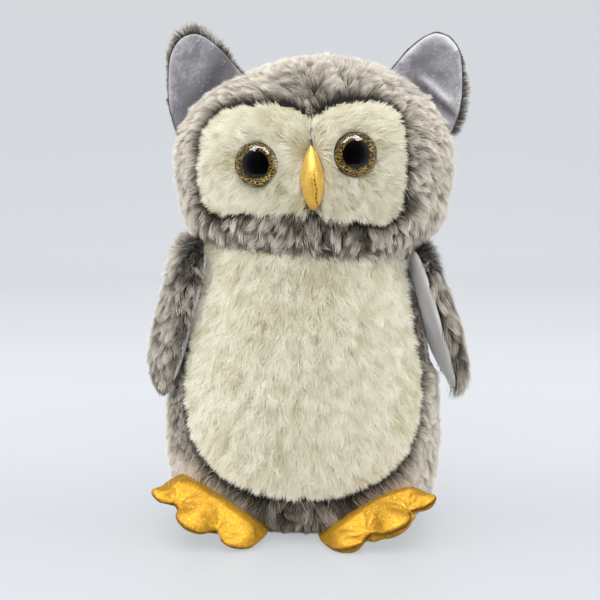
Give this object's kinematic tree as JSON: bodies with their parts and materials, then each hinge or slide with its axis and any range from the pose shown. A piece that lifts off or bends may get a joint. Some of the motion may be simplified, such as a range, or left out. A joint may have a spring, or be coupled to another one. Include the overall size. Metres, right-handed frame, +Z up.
{
  "type": "plush owl",
  "caption": "Stuffed toy owl in grey and cream pile cloth, with cupped ears, safety eyes, hanging wings and gold lame beak and feet.",
  "frame": {"origin": "middle of the flat base that the toy stands on", "axes": "+Z up, -Y towards the face, -X towards the left as seen from the front"},
  "size_m": [0.1915, 0.155, 0.2966],
  "materials": {
    "grey_pile": "long mottled grey pile, matt",
    "cream_pile": "long cream pile, matt",
    "gold_lame": "crinkled gold lame, metallic sheen",
    "silver_velour": "short silver-grey velour, soft sheen",
    "clear_lens": "clear, high gloss",
    "gold_glitter": "gold glitter under a clear dome",
    "black_plastic": "moulded, gloss",
    "white_plastic": "moulded, matt",
    "fibre_fill": "polyester fibre",
    "pellet_bag": "plain woven bag"
  },
  "bodies": {
    "body": {"head_front_cover": "grey_pile", "head_back_cover": "grey_pile", "face_panel_left": "cream_pile", "face_panel_right": "cream_pile", "head_stuffing": "fibre_fill", "eye_lens_left": "clear_lens", "eye_lens_right": "clear_lens", "eye_iris_left": "gold_glitter", "eye_iris_right": "gold_glitter", "eye_pupil_left": "black_plastic", "eye_pupil_right": "black_plastic", "eye_stem_left": "black_plastic", "eye_stem_right": "black_plastic", "eye_washer_left": "white_plastic", "eye_washer_right": "white_plastic", "beak_cover": "gold_lame", "beak_stuffing": "fibre_fill", "body_front_cover": "grey_pile", "body_back_cover": "grey_pile", "belly_panel": "cream_pile", "base_panel": "grey_pile", "body_stuffing": "fibre_fill", "pellet_pouch": "pellet_bag"},
    "ear_left": {"ear_back_left": "grey_pile", "ear_lining_left": "silver_velour"},
    "ear_right": {"ear_back_right": "grey_pile", "ear_lining_right": "silver_velour"},
    "wing_left": {"wing_cover_left": "grey_pile", "wing_lining_left": "silver_velour", "wing_wadding_left": "fibre_fill"},
    "wing_right": {"wing_cover_right": "grey_pile", "wing_lining_right": "silver_velour", "wing_wadding_right": "fibre_fill"},
    "foot_left": {"foot_top_left": "gold_lame", "foot_sole_left": "gold_lame", "foot_stuffing_left": "fibre_fill"},
    "foot_right": {"foot_top_right": "gold_lame", "foot_sole_right": "gold_lame", "foot_stuffing_right": "fibre_fill"}
  },
  "joints": [
    {"name": "ear_left_bend", "type": "hinge", "parent": "body", "child": "ear_left", "pos_m": [-0.05421, 0.00408, 0.25125], "axis": [0.7413, 0.0698, 0.6675], "range_deg": [-20, 30], "stiffness_Nm_per_rad": 0.05},
    {"name": "ear_right_bend", "type": "hinge", "parent": "body", "child": "ear_right", "pos_m": [0.06879, 0.00408, 0.25192], "axis": [0.7144, -0.2756, -0.6432], "range_deg": [-20, 30], "stiffness_Nm_per_rad": 0.05},
    {"name": "wing_left_swing", "type": "hinge", "parent": "body", "child": "wing_left", "pos_m": [-0.06273, -0.01104, 0.17028], "axis": [-0.2419, 0.9703, 0], "range_deg": [0, 35]},
    {"name": "wing_right_swing", "type": "hinge", "parent": "body", "child": "wing_right", "pos_m": [0.06273, -0.01104, 0.16942], "axis": [0.2079, -0.9781, 0], "range_deg": [0, 35]},
    {"name": "foot_left_fold", "type": "hinge", "parent": "body", "child": "foot_left", "pos_m": [-0.04567, -0.04933, 0.03371], "axis": [-0.8211, 0.3656, 0.4384], "range_deg": [0, 20]},
    {"name": "foot_right_fold", "type": "hinge", "parent": "body", "child": "foot_right", "pos_m": [0.03567, -0.05072, 0.02872], "axis": [-0.8409, -0.3744, -0.3907], "range_deg": [0, 20]}
  ]
}
